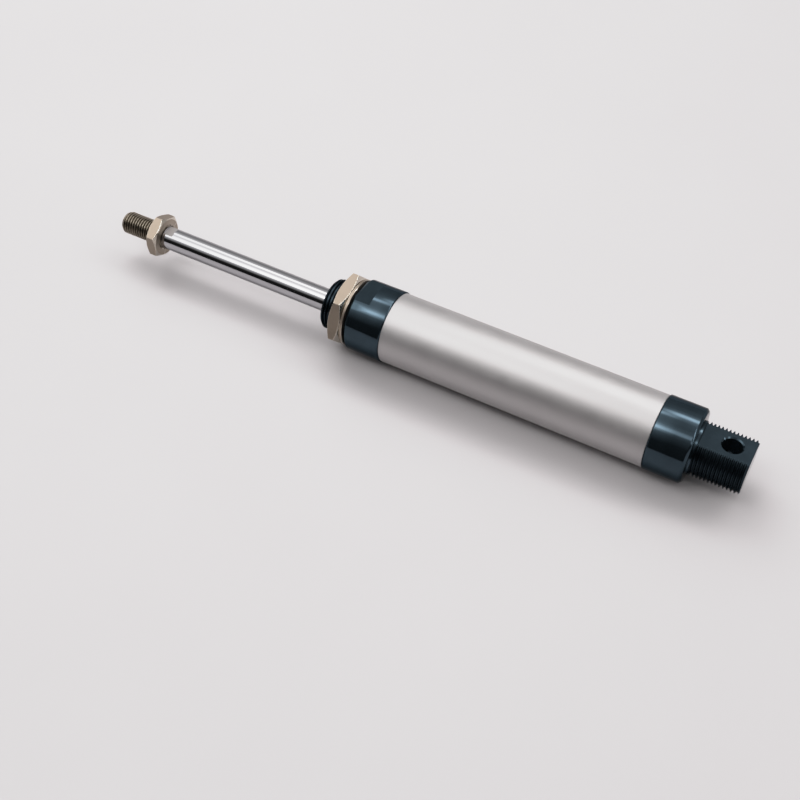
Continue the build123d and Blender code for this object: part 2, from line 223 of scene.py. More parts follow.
def soften(outline, size, closed=False):
    """Round each corner of an (x, radius) outline with a small three-point arc."""
    points = [np.array(p, float) for p in outline]
    count = len(points)
    result = []
    for i, here in enumerate(points):
        if not closed and i in (0, count - 1):
            result.append(tuple(here))
            continue
        before = points[i - 1] - here
        after = points[(i + 1) % count] - here
        room = min(np.linalg.norm(before), np.linalg.norm(after))
        reach = min(size, ROUNDED_SHARE * room)
        first = here + before / np.linalg.norm(before) * reach
        last = here + after / np.linalg.norm(after) * reach
        middle = 0.25 * first + 0.5 * here + 0.25 * last
        result += [tuple(first), tuple(middle), tuple(last)]
    return result


def plain_row(x, radius, columns):
    """One ring of a turned surface."""
    return np.full(columns, float(x)), np.full(columns, float(radius))


def thread_rows(start, end, crest, pitch, chamfers, columns):
    """Rings that follow a right-hand helix between two places, with the standard screw profile.

    Rings beyond an end are held on it. chamfers says how far the crests are cut down at the start
    and at the end, and 0 leaves them whole.
    """
    root = crest - THREAD_DEPTH * pitch
    shares = [0, CREST_END, ROOT_START, ROOT_END, 1]
    levels = [crest, crest, root, root, crest]
    shift = np.linspace(0, pitch, columns)
    rows = []
    for turn in range(math.ceil((end - start) / pitch) + 2):
        for share, radius in zip(shares[:-1], levels):
            x = start + (turn - 1 + share - HELIX_LEAD) * pitch + shift
            held = np.clip(x, start, end)
            place = np.mod((held - shift - start) / pitch + HELIX_LEAD, 1)
            profile = np.where(held == x, radius, np.interp(place, shares, levels))
            low = crest - chamfers[0] + (held - start) if chamfers[0] else crest
            high = crest - chamfers[1] + (end - held) if chamfers[1] else crest
            limit = np.maximum(np.minimum(low, high), root - CHAMFER_FLOOR)
            rows.append((held, np.minimum(profile, limit)))
    return rows


def turned_mesh(name, pieces, closed=False, columns=SEGMENTS + 1, phase=0.0):
    """A mesh turned about X from rows of (x, radius), in millimetres.

    pieces holds (x, radius) pairs and lists of ready rows. An outline that isn't closed starts and
    ends on the axis.
    """
    rows = []
    for piece in pieces:
        rows += piece if isinstance(piece, list) else [plain_row(*piece, columns)]
    if closed:
        rows.append(rows[0])
    angle = np.linspace(0, TURN, columns) + phase
    xs = np.array([row[0] for row in rows])
    radii = np.array([row[1] for row in rows])
    points = np.stack([xs, radii * np.cos(angle), radii * np.sin(angle)], -1) * MM
    count = len(rows)
    index = np.arange(count * columns).reshape(count, columns)
    quads = np.stack([index[:-1, :-1], index[1:, :-1], index[1:, 1:], index[:-1, 1:]], -1)
    mesh = bpy.data.meshes.new(name)
    mesh.from_pydata(points.reshape(-1, 3).tolist(), [], quads.reshape(-1, 4).tolist())
    clean(mesh)
    return mesh


def clean(mesh):
    """Weld the seam and drop faces that the welding emptied, with every face turned outwards."""
    work = bmesh.new()
    work.from_mesh(mesh)
    bmesh.ops.remove_doubles(work, verts=work.verts, dist=WELD)
    bmesh.ops.dissolve_degenerate(work, edges=work.edges, dist=WELD / 2)
    bmesh.ops.recalc_face_normals(work, faces=work.faces)
    work.to_mesh(mesh)
    work.free()


def cut(obj, tool_mesh):
    """Take a tool mesh away from an object with an exact boolean, and drop the tool."""
    tool = new_object("tool", tool_mesh)
    modifier = obj.modifiers.new("cut", "BOOLEAN")
    modifier.operation = "DIFFERENCE"
    modifier.solver = "EXACT"
    modifier.object = tool
    graph = bpy.context.evaluated_depsgraph_get()
    result = bpy.data.meshes.new_from_object(obj.evaluated_get(graph))
    old = obj.data
    obj.modifiers.clear()
    obj.data = result
    bpy.data.meshes.remove(old)
    bpy.data.objects.remove(tool)
    bpy.data.meshes.remove(tool_mesh)
    clean(obj.data)


def block_mesh(low, high):
    """A box between two corners, in millimetres, for cutting."""
    mesh = bpy.data.meshes.new("block")
    work = bmesh.new()
    centre = (Vector(low) + Vector(high)) / 2 * MM
    size = (Vector(high) - Vector(low)) * MM
    place = Matrix.Translation(centre) @ Matrix.Diagonal(size.to_4d())
    bmesh.ops.create_cube(work, size=1.0, matrix=place)
    work.to_mesh(mesh)
    work.free()
    return mesh


def mill_flats(obj, start, end, half_width):
    """Cut a pair of flats square to Z between two places on the axis."""
    far = 2 * CAP_RADIUS
    for side in (1, -1):
        z = sorted((side * half_width, side * far))
        cut(obj, block_mesh((start, -far, z[0]), (end, far, z[1])))


def turn_tool(pieces, matrix):
    """A cutter turned about X and then moved by a matrix in metres."""
    mesh = turned_mesh("cutter", pieces, columns=CUTTER_COLUMNS)
    mesh.transform(matrix)
    clean(mesh)
    return mesh


def pivot_tool():
    """The pivot hole's cutter, with a chamfer at each flat."""
    reach = TANG_HALF_WIDTH + OVERCUT
    narrow = TANG_HALF_WIDTH - PIVOT_CHAMFER
    mouth = PIVOT_RADIUS + PIVOT_CHAMFER
    outline = [
        (-reach, 0), (-reach, mouth), (-TANG_HALF_WIDTH, mouth), (-narrow, PIVOT_RADIUS),
        (narrow, PIVOT_RADIUS), (TANG_HALF_WIDTH, mouth), (reach, mouth), (reach, 0),
    ]
    return turn_tool(outline, Matrix.Rotation(-math.pi / 2, 4, "Y"))


def port_tool(x, bottom):
    """A tapped G1/8 port from -Y: drilled, threaded, chamfered and spot-faced."""
    spot = CAP_RADIUS - PORT_SPOT_DEPTH
    far = 2 * CAP_RADIUS
    thread = thread_rows(bottom + PORT_RUNOUT, spot - PORT_CHAMFER, PORT_MINOR + PORT_THREAD_DEPTH,
                         PORT_PITCH, (PORT_THREAD_CHAMFER, 0), CUTTER_COLUMNS)
    outline = [
        (bottom, 0), (bottom, PORT_MINOR), (bottom + (PORT_RUNOUT - THREAD_GAP), PORT_MINOR), thread,
        (spot, PORT_MOUTH_RADIUS), (spot, PORT_SPOT_RADIUS), (far, PORT_SPOT_RADIUS), (far, 0),
    ]
    place = Matrix.Translation((x * MM, 0, 0)) @ Matrix.Rotation(-math.pi / 2, 4, "Z")
    return turn_tool(outline, place)


def bar_tool(start, end, radius, offset=0.0):
    """A plain round cutter parallel to the axis."""
    outline = [(start, 0), (start, radius), (end, radius), (end, 0)]
    return turn_tool(outline, Matrix.Translation((0, -offset * MM, 0)))


def finish_piece(obj, body, slot_name, *nodes):
    """Shade a made piece, ride it on its body and let it stand for its CAD nodes."""
    shade(obj)
    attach(obj, body)
    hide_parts(*nodes)
    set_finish(obj, slot_name)
    return obj


# ---------------------------------------------------------------- the pieces

def spigot(face, direction):
    """The screwed spigot's outline from the junction face inwards."""
    return [(face + direction * step, radius) for step, radius in SPIGOT_STEPS]


def make_barrel():
    """The drawn tube with its slightly broken ends."""
    edge = BARREL_RADIUS - BARREL_EDGE
    outline = [
        (REAR_JUNCTION, SOCKET_RADIUS), (REAR_JUNCTION + SOCKET_DEPTH, SOCKET_RADIUS),
        (REAR_JUNCTION + SOCKET_DEPTH, BORE_RADIUS), (FRONT_JUNCTION - SOCKET_DEPTH, BORE_RADIUS),
        (FRONT_JUNCTION - SOCKET_DEPTH, SOCKET_RADIUS), (FRONT_JUNCTION, SOCKET_RADIUS),
        (FRONT_JUNCTION, edge), (FRONT_JUNCTION - BARREL_EDGE, BARREL_RADIUS),
        (REAR_JUNCTION + BARREL_EDGE, BARREL_RADIUS), (REAR_JUNCTION, edge),
    ]
    mesh = turned_mesh("barrel", soften(outline, BARREL_SOFTNESS, closed=True), closed=True)
    barrel = new_object("barrel", mesh)
    return finish_piece(barrel, ROOT_BODY, "clear_anodised", "barrel_tube")


def make_rear_cap():
    """The rear cap with its threaded, flat-sided tang, pivot hole and port."""
    neck = REAR_FACE - TANG_NECK
    thread = thread_rows(TANG_END + THREAD_GAP, neck - TANG_RUNOUT, SCREW_RADIUS, SCREW_PITCH,
                         (TANG_CHAMFER, 0), SEGMENTS + 1)
    body = soften([
        (neck, TANG_NECK_RADIUS), (neck, SCREW_RADIUS), (REAR_FACE, SCREW_RADIUS),
        (REAR_FACE, CAP_RADIUS - CAP_EDGE), (REAR_FACE + CAP_EDGE, CAP_RADIUS),
        (REAR_JUNCTION - CAP_BACK_EDGE, CAP_RADIUS), (REAR_JUNCTION, CAP_RADIUS - CAP_BACK_EDGE),
        (REAR_JUNCTION, SPIGOT_RADIUS),
    ], EDGE_SOFTNESS)
    pieces = [(TANG_END, 0), (TANG_END, SCREW_RADIUS - TANG_TIP_DROP), thread, *body,
              *spigot(REAR_JUNCTION, 1), (REAR_SPIGOT, 0)]
    cap = new_object("rear_cover", turned_mesh("rear_cover", pieces, phase=HALF_SEGMENT))
    mill_flats(cap, TANG_END - OVERCUT, neck, TANG_HALF_WIDTH)
    cut(cap, pivot_tool())
    port_x = REAR_FACE + REAR_PORT_PLACE
    cut(cap, port_tool(port_x, REAR_PORT_BOTTOM))
    cut(cap, bar_tool(port_x - REAR_AIRWAY_RADIUS, REAR_SPIGOT + OVERCUT, REAR_AIRWAY_RADIUS))
    return finish_piece(cap, ROOT_BODY, "dark_anodised", "rear_cap")


def nose_bore():
    """The front cap's inside from the mouth of the nose back to the end of its spigot."""
    seat = NOSE_END - SEAT_DEPTH
    ring_end = NOSE_END - RING_GROOVE_DEPTH
    ring_start = ring_end - RING_GROOVE_WIDTH
    bush_end = FRONT_SPIGOT + BUSH_BORE_LENGTH
    return [
        (NOSE_END, SCREW_RADIUS - NOSE_TIP_DROP), (NOSE_END, SEAT_RADIUS + NOSE_MOUTH_CHAMFER),
        (NOSE_END - NOSE_MOUTH_CHAMFER, SEAT_RADIUS), (ring_end, SEAT_RADIUS),
        (ring_end, RING_GROOVE_RADIUS), (ring_start, RING_GROOVE_RADIUS), (ring_start, SEAT_RADIUS),
        (seat, SEAT_RADIUS), (seat, ROD_HOLE_RADIUS), (bush_end, ROD_HOLE_RADIUS),
        (bush_end, BUSH_BORE_RADIUS), (FRONT_SPIGOT, BUSH_BORE_RADIUS),
    ]


def make_front_cap():
    """The front cap with its threaded nose, spanner flats, seal seat and port."""
    thread = thread_rows(SHOULDER + NOSE_NECK, NOSE_END - THREAD_GAP, SCREW_RADIUS, SCREW_PITCH,
                         NOSE_CHAMFERS, SEGMENTS + 1)
    body = soften([
        (FRONT_JUNCTION, SPIGOT_RADIUS), (FRONT_JUNCTION, CAP_RADIUS - CAP_BACK_EDGE),
        (FRONT_JUNCTION + CAP_BACK_EDGE, CAP_RADIUS), (SHOULDER - CAP_EDGE, CAP_RADIUS),
        (SHOULDER, CAP_RADIUS - CAP_EDGE), (SHOULDER, NOSE_NECK_RADIUS),
        (SHOULDER + (NOSE_NECK - THREAD_GAP), NOSE_NECK_RADIUS),
    ], EDGE_SOFTNESS)
    inner = list(reversed(spigot(FRONT_JUNCTION, -1)))
    pieces = [*inner, *body[1:], thread, *nose_bore()]
    mesh = turned_mesh("front_cover", pieces, closed=True, phase=HALF_SEGMENT)
    cap = new_object("front_cover", mesh)
    mill_flats(cap, SHOULDER - CAP_FLAT_LENGTH, SHOULDER + CAP_FLAT_OVERRUN,
               CAP_FLAT_HALF_WIDTH)
    port_x = FRONT_JUNCTION + FRONT_PORT_PLACE
    cut(cap, port_tool(port_x, FRONT_PORT_BOTTOM))
    cut(cap, bar_tool(FRONT_SPIGOT - OVERCUT, port_x, FRONT_AIRWAY_RADIUS, FRONT_AIRWAY_OFFSET))
    return finish_piece(cap, ROOT_BODY, "dark_anodised", "front_cap")


def soft_least(values, softness):
    """A smooth minimum of several arrays, which rounds the edges where they meet."""
    stack = np.stack(values)
    low = stack.min(0)
    return low - softness * np.log(np.exp((low - stack) / softness).sum(0))


def hex_rows(start, end, width, turn):
    """Rings of a hexagonal nut with both corners turned off at 30 degrees and rounded edges."""
    angle = np.linspace(0, TURN, NUT_COLUMNS)
    flats = []
    for k in range(6):
        facing = np.cos(angle - math.radians(turn + 30 + 60 * k))
        distance = 0.5 * width / np.maximum(facing, LEAST_FACING)
        flats.append(np.where(facing > LEAST_FACING, distance, FAR_OUT))
    steps = np.linspace(0, 1, HEX_CORNER_RINGS) ** HEX_CORNER_CROWDING * HEX_CORNER_DEPTH
    rows = []
    for x in [*(start + steps), *(end - steps[::-1])]:
        from_end = min(x - start, end - x)
        corner = np.full(NUT_COLUMNS, HEX_FACE_SHARE * width + from_end / HEX_CORNER_SLOPE)
        rows.append((np.full(NUT_COLUMNS, x), soft_least([*flats, corner], NUT_SOFTNESS)))
    return rows


def make_nut(name, node, width, turn, bore, collar=None):
    """A nut with a countersunk bore, and a turned washer face on its low side if collar is set."""
    low, high = along(node, 0), along(node, 1)
    start = low
    pieces = [(low, bore + NUT_SINK)]
    if collar:
        length, radius = collar
        start = low + length
        pieces = soften([(low, bore + NUT_SINK), (low, radius), (start, radius),
                         (start, COLLAR_SEAT_SHARE * width)], COLLAR_SOFTNESS)
    pieces.append(hex_rows(start, high, width, turn))
    pieces += [(high, bore + NUT_SINK), (high - NUT_SINK, bore), (low + NUT_SINK, bore)]
    return new_object(name, turned_mesh(name, pieces, closed=True, columns=NUT_COLUMNS))


def make_nuts():
    """The mounting nut on the nose and the lock nut on the rod."""
    front = make_nut("nose_nut", "front_mounting_nut", FRONT_NUT_WIDTH, FRONT_NUT_TURN,
                     SCREW_RADIUS + NUT_CLEARANCE, FRONT_NUT_COLLAR)
    finish_piece(front, ROOT_BODY, "nickel_plate", "front_mounting_nut")
    rod = make_nut("rod_lock_nut", "rod_nut", ROD_NUT_WIDTH, ROD_NUT_TURN,
                   ROD_RADIUS + NUT_CLEARANCE)
    finish_piece(rod, ROD_BODY, "nickel_plate", "rod_nut")
    return front, rod


def make_rod():
    """The piston rod: stud, ground bar, spanner flats and the rolled thread with its tip."""
    bar_end = ROD_TIP - ROD_THREAD_LENGTH
    piston_face = STUD_END + STUD_LENGTH
    thread = thread_rows(bar_end, ROD_TIP - THREAD_GAP, ROD_RADIUS, ROD_PITCH,
                         ROD_THREAD_CHAMFERS, SEGMENTS + 1)
    pieces = [
        (STUD_END, 0), (STUD_END, STUD_RADIUS - STUD_EDGE), (STUD_END + STUD_EDGE, STUD_RADIUS),
        (piston_face, STUD_RADIUS), (piston_face, ROD_RADIUS),
        (bar_end - ROD_NECK_LENGTH, ROD_RADIUS), (bar_end - THREAD_GAP, ROD_NECK_RADIUS), thread,
        (ROD_TIP, ROD_TIP_RADIUS), (ROD_TIP, 0),
    ]
    rod = new_object("rod", turned_mesh("rod", pieces))
    mill_flats(rod, bar_end - ROD_FLATS[0], bar_end - ROD_FLATS[1], ROD_FLAT_HALF_WIDTH)
    return finish_piece(rod, ROD_BODY, "hard_chrome", "piston_rod")


# ---------------------------------------------------------------- shader nodes

def feed(tree, value, socket):
    """Link an output to a socket, or set the socket to a plain number or an RGB colour."""
    if isinstance(value, bpy.types.NodeSocket):
        tree.links.new(value, socket)
    else:
        socket.default_value = (*value, 1.0) if isinstance(value, tuple) else value


def colour_ramp(tree, value, stops):
    """A colour ramp from (place, RGB colour) stops."""
    node = tree.nodes.new("ShaderNodeValToRGB")
    elements = node.color_ramp.elements
    while len(elements) < len(stops):
        elements.new(0.5)
    for element, (place, colour) in zip(elements, stops):
        element.position = place
        element.color = (*colour, 1.0)
    feed(tree, value, node.inputs["Fac"])
    return node.outputs["Color"]


def map_range(tree, value, low, high, new_low=0.0, new_high=1.0):
    """Map a value from one range to another, held at its ends."""
    node = tree.nodes.new("ShaderNodeMapRange")
    limits = {"From Min": low, "From Max": high, "To Min": new_low, "To Max": new_high}
    for key, number in limits.items():
        node.inputs[key].default_value = number
    feed(tree, value, node.inputs["Value"])
    return node.outputs["Result"]


def mix_colours(tree, factor, first, second, blend="MIX"):
    """A mix of two colours, each an RGB colour or an output."""
    node = tree.nodes.new("ShaderNodeMix")
    node.data_type = "RGBA"
    node.blend_type = blend
    feed(tree, factor, node.inputs["Factor"])
    feed(tree, first, node.inputs[6])
    feed(tree, second, node.inputs[7])
    return node.outputs[2]


EVEN = (1.0, 1.0, 1.0)
CLOUD_STOPS = (0.3, 0.7)


class Finish:
    """A short way to wire a principled material."""

    def __init__(self, name):
        self.material = bpy.data.materials.new(name)
        self.material.use_nodes = True
        self.tree = self.material.node_tree
        self.shader = self.tree.nodes["Principled BSDF"]
        self.place = self.tree.nodes.new("ShaderNodeTexCoord").outputs["Object"]

    def set(self, **values):
        """Set sockets of the shader that are the same all over the surface."""
        for key, value in values.items():
            self.shader.inputs[key.replace("_", " ")].default_value = value

    def drive(self, socket, output):
        """Feed one of the shader's sockets from an output."""
        self.tree.links.new(output, self.shader.inputs[socket])

    def noise(self, stretch, scale, detail=4.0, roughness=0.55):
        """Noise of a given scale per metre, stretched along the axes."""
        mapping = self.tree.nodes.new("ShaderNodeMapping")
        mapping.inputs["Scale"].default_value = stretch
        self.tree.links.new(self.place, mapping.inputs["Vector"])
        node = self.tree.nodes.new("ShaderNodeTexNoise")
        node.inputs["Scale"].default_value = scale
        node.inputs["Detail"].default_value = detail
        node.inputs["Roughness"].default_value = roughness
        self.tree.links.new(mapping.outputs["Vector"], node.inputs["Vector"])
        return node.outputs["Fac"]

    def between(self, cloud, dark, light):
        """A colour that drifts between two with a cloud of noise."""
        return colour_ramp(self.tree, cloud, list(zip(CLOUD_STOPS, (dark, light))))

    def span(self, value, *limits):
        """Map a value from one range to another, held at its ends."""
        return map_range(self.tree, value, *limits)

    def mix(self, factor, first, second):
        """A mix of two colours, each an RGB colour or an output."""
        return mix_colours(self.tree, factor, first, second)

    def add(self, first, second, share):
        """first + share * second."""
        node = self.tree.nodes.new("ShaderNodeMath")
        node.operation = "MULTIPLY_ADD"
        for socket, value in zip(node.inputs, (second, share, first)):
            feed(self.tree, value, socket)
        return node.outputs["Value"]

    def bump(self, height, strength, distance):
        """Raise the surface by a height output; distance in metres."""
        node = self.tree.nodes.new("ShaderNodeBump")
        node.inputs["Strength"].default_value = strength
        node.inputs["Distance"].default_value = distance
        self.tree.links.new(height, node.inputs["Height"])
        self.drive("Normal", node.outputs["Normal"])

    def pointiness(self):
        """How sharp an outside edge the surface is at each place."""
        return self.tree.nodes.new("ShaderNodeNewGeometry").outputs["Pointiness"]


# ---------------------------------------------------------------- materials

# Fine tool marks, as (stretch, scale): rings round the axis, and lines drawn along it
RINGS = ((1.0, 0.03, 0.03), 5200.0)
DRAWN_LINES = ((0.03, 1.0, 1.0), 2600.0)
# The detail and roughness of the marks' noise, and the scale, detail and roughness of clouds of it
MARK_NOISE = (3.0, 0.7)
METAL_CLOUD = (140.0, 5.0, 0.6)
STEEL_CLOUD = (420.0, 5.0, 0.65)
SOFT_CLOUD = (220.0,)
SOFT_GRAIN = (1800.0, 3.0)
# How far the bumps rise, in metres
METAL_BUMP = 0.00002
SOFT_BUMP = 0.00003
# Worn edges: over how much pointiness the wear comes in, and how much of it there is
WEAR_WIDTH = 0.08
WEAR_SHARE = 0.7
# Gloss follows the cloud plus a share of the marks, over this range
MARK_SHARE = 0.5
GLOSS_RANGE = (0.5, 1.0)
# Rubber and plastic: how far colour and gloss drift, and how strong the grain is
SOFT_MOTTLE = 0.25
SOFT_GLOSS_DRIFT = 0.08
SOFT_GRAIN_STRENGTH = 0.25


def scaled(colour, share):
    """A colour made lighter or darker, and no brighter than white."""
    return tuple(min(1.0, c * share) for c in colour)


def machined(name, colour, worn, rough, line_depth, edge=0.56, patch=0.12, marks=RINGS,
             graze=1.0, metallic=1.0):
    """Turned metal: fine tool marks, uneven gloss, and edges worn a little brighter."""
    n = Finish(name)
    n.set(Metallic=metallic, Specular_Tint=(graze, graze, graze, 1.0))
    lines = n.noise(*marks, *MARK_NOISE)
    cloud = n.noise(EVEN, *METAL_CLOUD)
    tone = n.between(cloud, scaled(colour, 1 - patch), scaled(colour, 1 + patch))
    wear = n.span(n.pointiness(), edge, edge + WEAR_WIDTH, 0.0, WEAR_SHARE)
    n.drive("Base Color", n.mix(wear, tone, worn))
    gloss = n.add(cloud, lines, MARK_SHARE)
    n.drive("Roughness", n.span(gloss, *GLOSS_RANGE, *rough))
    n.bump(lines, line_depth, METAL_BUMP)
    return n.material


def soft_material(name, colour, rough):
    """Rubber or plastic: mottled, with a fine moulded grain."""
    n = Finish(name)
    cloud = n.noise(EVEN, *SOFT_CLOUD)
    grain = n.noise(EVEN, *SOFT_GRAIN)
    tone = n.between(cloud, scaled(colour, 1 - SOFT_MOTTLE), scaled(colour, 1 + SOFT_MOTTLE))
    n.drive("Base Color", tone)
    n.drive("Roughness", n.span(cloud, *CLOUD_STOPS, rough - SOFT_GLOSS_DRIFT,
                                rough + SOFT_GLOSS_DRIFT))
    n.bump(grain, SOFT_GRAIN_STRENGTH, SOFT_BUMP)
    return n.material


STEEL_DARK = (0.075, 0.064, 0.050)
STEEL_LIGHT = (0.16, 0.14, 0.11)
STEEL_CREST = (0.48, 0.42, 0.34)
STEEL_CREST_WEAR = (0.50, 0.58, 0.0, 0.8)
STEEL_ROUGHNESS = (0.24, 0.42)
STEEL_GRAIN_STRENGTH = 0.3


def thread_steel():
    """Oiled dark steel of the rolled thread, brighter on its crests."""
    n = Finish("thread_steel")
    n.set(Metallic=1.0)
    cloud = n.noise(EVEN, *STEEL_CLOUD)
    tone = n.between(cloud, STEEL_DARK, STEEL_LIGHT)
    crest = n.span(n.pointiness(), *STEEL_CREST_WEAR)
    n.drive("Base Color", n.mix(crest, tone, STEEL_CREST))
    n.drive("Roughness", n.span(cloud, *CLOUD_STOPS, *STEEL_ROUGHNESS))
    n.bump(cloud, STEEL_GRAIN_STRENGTH, SOFT_BUMP)
    return n.material


# Each metal: colour, colour of its worn edges, range of roughness, depth of its marks, and the rest
METALS = {
    "clear_anodised": ((0.438, 0.426, 0.426), (0.48, 0.47, 0.47), (0.48, 0.55), 0.10,
                       {"edge": 0.62, "patch": 0.025, "marks": DRAWN_LINES}),
    "dark_anodised": ((0.034, 0.051, 0.064), (0.16, 0.18, 0.20), (0.05, 0.09), 0.12,
                      {"edge": 0.58, "patch": 0.14, "graze": 0.4, "metallic": 0.9}),
    "nickel_plate": ((0.27, 0.225, 0.18), (0.55, 0.50, 0.44), (0.42, 0.50), 0.12,
                     {"edge": 0.53, "patch": 0.08}),
    "hard_chrome": ((0.405, 0.405, 0.42), (0.50, 0.50, 0.50), (0.05, 0.10), 0.10,
                    {"edge": 0.62, "patch": 0.03, "graze": 0.65}),
    "plain_steel": ((0.55, 0.55, 0.56), (0.7, 0.7, 0.7), (0.25, 0.40), 0.3, {}),
    "spring_steel": ((0.10, 0.10, 0.11), (0.3, 0.3, 0.3), (0.30, 0.45), 0.3, {}),
    "bronze": ((0.60, 0.40, 0.20), (0.75, 0.55, 0.32), (0.25, 0.42), 0.4, {}),
    "bare_aluminium": ((0.76, 0.76, 0.77), (0.85, 0.85, 0.85), (0.22, 0.36), 0.4, {}),
    "magnet": ((0.11, 0.11, 0.12), (0.2, 0.2, 0.2), (0.4, 0.6), 0.4, {}),
}
SOFT_PARTS = {
    "guide_plastic": ((0.80, 0.76, 0.66), 0.45),
    "seal_rubber": ((0.022, 0.022, 0.024), 0.48),
    "bumper_urethane": ((0.60, 0.33, 0.10), 0.35),
}
# Second finishes on parts of the nuts, the rod and the caps: a lighter copy of the nickel that
# paints a highlight on the nuts' corners, the milled finish of the rod's spanner flats, and a darker
# copy of the anodising that paints shade into the caps' threads
EDGE_HIGHLIGHT_METAL = ((0.52, 0.475, 0.41), (0.6, 0.56, 0.5), (0.14, 0.22), 0.1, 0.56, 0.06)
MILLED_METAL = ((0.34, 0.325, 0.32), (0.45, 0.44, 0.43), (0.42, 0.50), 0.2, 0.62, 0.05)
THREAD_SHADE_METAL = ((0.018, 0.027, 0.034), (0.06, 0.07, 0.08), (0.24, 0.34), 0.1, 0.56, 0.2)
# Where the threads have their second finish: start, end and, on the caps, least radius. On the rod
# it is oiled steel, and on the caps it is painted shade in the threads' grooves
ROD_THREAD_ZONE = (ROD_TIP - ROD_THREAD_LENGTH - 0.1, ROD_TIP + 1)
REAR_THREAD_SHADE_ZONE = (TANG_END + 0.2, REAR_FACE - TANG_NECK, 9.8)
FRONT_THREAD_SHADE_ZONE = (SHOULDER + 1.0, NOSE_END - 0.05, 9.3)
# How much of a face's normal lies along an axis: square to it, nearly so, and on a nut's corners;
# and how near to a flat's place a face of the flat lies
SQUARE = 0.999
NEARLY_SQUARE = 0.99
BEVEL_LEAN = (0.12, 0.96)
FLAT_TOLERANCE = 0.01


def make_materials():
    """One finish for each of the record's material slots."""
    made = {}
    for name, (colour, worn, rough, line_depth, rest) in METALS.items():
        made[name] = machined(name, colour, worn, rough, line_depth, **rest)
    for name, (colour, rough) in SOFT_PARTS.items():
        made[name] = soft_material(name, colour, rough)
    return made


def refinish(obj, material, chosen):
    """Give another finish to the faces that chosen picks."""
    obj.data.materials.append(material)
    slot = len(obj.data.materials) - 1
    for face in obj.data.polygons:
        if chosen(face):
            face.material_index = slot


def off_flat(face):
    """Whether a face isn't square to Z."""
    return abs(face.normal.z) < NEARLY_SQUARE


def bevelled(face):
    """Whether a face of a nut belongs to its turned-off corners."""
    return BEVEL_LEAN[0] < abs(face.normal.x) < BEVEL_LEAN[1]


def along_axis(face, start, end):
    """Whether a face lies between two places on the axis."""
    return start < face.center.x / MM < end


def outside(face, radius):
    """Whether a face lies further out than a radius."""
    return math.hypot(face.center.y / MM, face.center.z / MM) > radius


def on_flat(face, half_width):
    """Whether a face is part of a pair of flats square to Z."""
    level = abs(face.normal.z) > SQUARE
    return level and abs(abs(face.center.z) / MM - half_width) < FLAT_TOLERANCE


def dress_details(rear, front, nuts, rod):
    """Give the nuts' corners, the threads and the rod's spanner flats finishes of their own, with a
    painted highlight on the nuts' corners and painted shade on the caps' threads.
    """
    # Painted highlight: a lighter, glossier copy of the nickel on the nuts' turned-off corners.
    painted_highlight = machined("nickel_painted_highlight", *EDGE_HIGHLIGHT_METAL)
    for nut in nuts:
        refinish(nut, painted_highlight, bevelled)
    refinish(rod, thread_steel(), lambda f: along_axis(f, *ROD_THREAD_ZONE))
    milled = machined("milled_steel", *MILLED_METAL)
    refinish(rod, milled, lambda f: on_flat(f, ROD_FLAT_HALF_WIDTH))
    # Painted shade: a darker copy of the anodising on the caps' threads.
    painted_shade = machined("thread_anodised_painted_shade", *THREAD_SHADE_METAL, graze=0.4, metallic=0.9)
    for cap, (*ends, radius) in ((rear, REAR_THREAD_SHADE_ZONE), (front, FRONT_THREAD_SHADE_ZONE)):
        refinish(cap, painted_shade,
                 lambda f: along_axis(f, *ends) and outside(f, radius) and off_flat(f))


def dress(materials, barrel, rear, front, nuts, rod):
    """Give every made piece, and every CAD node that still shows, its finish."""
    for obj in (barrel, rear, front, *nuts, rod):
        obj.data.materials.clear()
        obj.data.materials.append(materials[obj["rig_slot"]])
    dress_details(rear, front, nuts, rod)
    slots = {part["node"]: part["material_slot"] for part in frame["record"]["subparts"]}
    for node, obj in frame["nodes"].items():
        for place in obj.material_slots:
            place.material = materials[slots[node]]


# ---------------------------------------------------------------- stage, light and camera

FLOOR_TILT = math.radians(9)
FLOOR_SIZE = 4.0
FLOOR_DARK = (0.384, 0.368, 0.374)
FLOOR_LIGHT = (0.396, 0.380, 0.386)
FLOOR_CLOUD = (9.0, 3.0)
FLOOR_ROUGHNESS = 0.6
FLOOR_GLOSS = 0.2
# The table is painted a little darker with distance from the cylinder's middle, a painted fall-off
# of light: from, to, and by how much
MIDDLE = 0.14
FLOOR_PAINTED_FALLOFF = (0.12, 0.55, 0.0, 0.14)


def make_floor():
    """A plain pale table top that the caps lie on, with the pivot hole a little off upright, painted
    a little darker away from the cylinder's middle as a fall-off of light.
    """
    normal = Vector((0, math.sin(FLOOR_TILT), math.cos(FLOOR_TILT)))
    across = Vector((0, normal.z, -normal.y))
    foot = -CAP_RADIUS * MM * normal
    mesh = bpy.data.meshes.new("floor")
    corners = [foot + Vector((sx * FLOOR_SIZE, 0, 0)) + sy * FLOOR_SIZE * across
               for sx, sy in ((-1, -1), (1, -1), (1, 1), (-1, 1))]
    mesh.from_pydata(corners, [], [(0, 1, 2, 3)])
    floor = new_object("floor", mesh)
    n = Finish("table_top")
    n.set(Roughness=FLOOR_ROUGHNESS, Specular_IOR_Level=FLOOR_GLOSS)
    tone = n.between(n.noise(EVEN, *FLOOR_CLOUD), FLOOR_DARK, FLOOR_LIGHT)
    # Painted fall-off of light: the colour is mixed towards black with distance from the cylinder's
    # middle.
    distance = n.tree.nodes.new("ShaderNodeVectorMath")
    distance.operation = "DISTANCE"
    distance.inputs[1].default_value = (MIDDLE, 0.0, foot.z)
    n.tree.links.new(n.place, distance.inputs[0])
    away = n.span(distance.outputs["Value"], *FLOOR_PAINTED_FALLOFF)
    n.drive("Base Color", n.mix(away, tone, (0.0, 0.0, 0.0)))
    mesh.materials.append(n.material)


